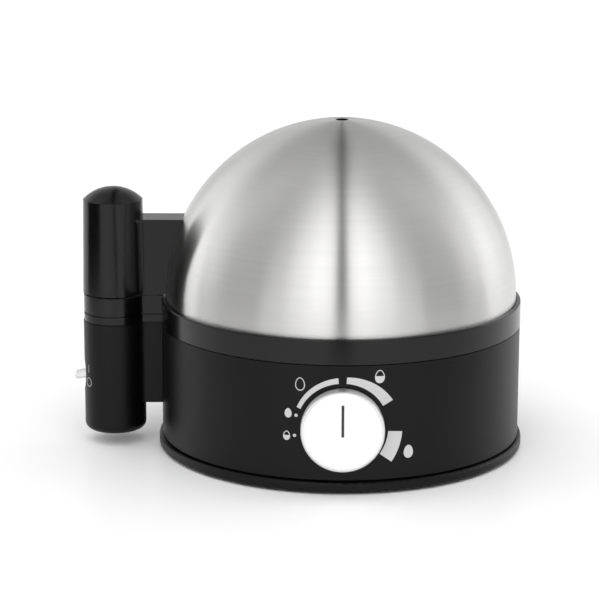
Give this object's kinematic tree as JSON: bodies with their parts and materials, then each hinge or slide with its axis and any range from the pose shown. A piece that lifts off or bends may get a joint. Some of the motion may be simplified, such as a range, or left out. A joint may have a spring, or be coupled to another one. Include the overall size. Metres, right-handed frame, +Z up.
{
  "type": "electric egg cooker",
  "caption": "Round electric egg cooker with a domed brushed steel lid, a lift-out egg tray, a heated base with a control knob, and a side handle column with a toggle switch.",
  "frame": {"origin": "on the drum's axis, at the level of the foot ring's underside", "axes": "+Z up along the drum's axis, -Y to the front where the knob is, -X towards the handle column"},
  "size_m": [0.2245, 0.1887, 0.1641],
  "materials": {
    "satin_black": "satin black moulding with a fine grain",
    "gloss_black": "glossy black moulding",
    "dome_steel": "stainless steel, brushed round the axis",
    "dish_steel": "satin stainless steel",
    "fixing_steel": "zinc plated steel",
    "spreader_aluminium": "plain cast aluminium",
    "heater_sheath": "heat darkened steel sheath",
    "terminal_brass": "plain brass",
    "foot_rubber": "matt black rubber",
    "seal_silicone": "pale silicone rubber",
    "thermostat_case": "brown moulded case",
    "fuse_case": "white sleeve",
    "board_green": "green circuit board",
    "terminal_plastic": "pale moulded terminals",
    "component_black": "black moulded case",
    "relay_blue": "blue moulded case",
    "knob_silver": "satin silver lacquer on plastic",
    "pointer_black": "black inlay",
    "lever_pale": "pale silver plastic",
    "lead_brown": "brown insulation",
    "lead_black": "black insulation",
    "lead_blue": "blue insulation",
    "lead_white": "white heat-proof insulation",
    "lead_green_yellow": "green and yellow insulation"
  },
  "bodies": {
    "base": {"base_housing": "satin_black", "bottom_plate": "satin_black", "foot_ring": "foot_rubber", "base_screws": "fixing_steel", "heating_dish": "dish_steel", "dish_seal": "seal_silicone", "heat_spreader": "spreader_aluminium", "heater_element": "heater_sheath", "heater_terminals": "terminal_brass", "dish_studs": "fixing_steel", "dish_straps": "fixing_steel", "dish_nuts": "fixing_steel", "thermostat": "thermostat_case", "thermostat_bracket": "fixing_steel", "thermostat_screws": "fixing_steel", "thermal_fuse": "fuse_case", "control_board": "board_green", "board_screws": "fixing_steel", "potentiometer": "component_black", "relay": "relay_blue", "buzzer": "component_black", "board_connector": "terminal_plastic", "switch_column": "satin_black", "column_cap": "satin_black", "column_screws": "fixing_steel", "switch_body": "component_black", "switch_terminals": "terminal_brass", "cord_gland": "foot_rubber", "terminal_block": "terminal_plastic", "live_lead": "lead_brown", "switched_lead": "lead_black", "neutral_lead": "lead_blue", "heater_lead_left": "lead_white", "heater_lead_right": "lead_white", "earth_lead": "lead_green_yellow"},
    "egg_tray": {"tray_ring": "gloss_black", "egg_plate": "dish_steel", "tray_rivets": "fixing_steel"},
    "lid": {"lid_dome": "dome_steel", "lid_handle": "gloss_black", "handle_cap": "gloss_black", "lid_washers": "fixing_steel", "lid_screws": "fixing_steel"},
    "control_knob": {"knob": "knob_silver", "knob_pointer": "pointer_black", "control_shaft": "fixing_steel"},
    "toggle": {"switch_lever": "lever_pale"}
  },
  "joints": [
    {"name": "tray_lift", "type": "slide", "parent": "base", "child": "egg_tray", "axis": [0, 0, 1], "range_m": [0, 0.08]},
    {"name": "lid_lift", "type": "slide", "parent": "egg_tray", "child": "lid", "axis": [0, 0, 1], "range_m": [0, 0.12]},
    {"name": "knob_turn", "type": "hinge", "parent": "base", "child": "control_knob", "pos_m": [0, -0.0895, 0.03235], "axis": [0, -1, 0], "range_deg": [-124, 97]},
    {"name": "toggle_tip", "type": "hinge", "parent": "base", "child": "toggle", "pos_m": [-0.12178, 0, 0.0352], "axis": [0, 1, 0], "range_deg": [0, 14]}
  ]
}
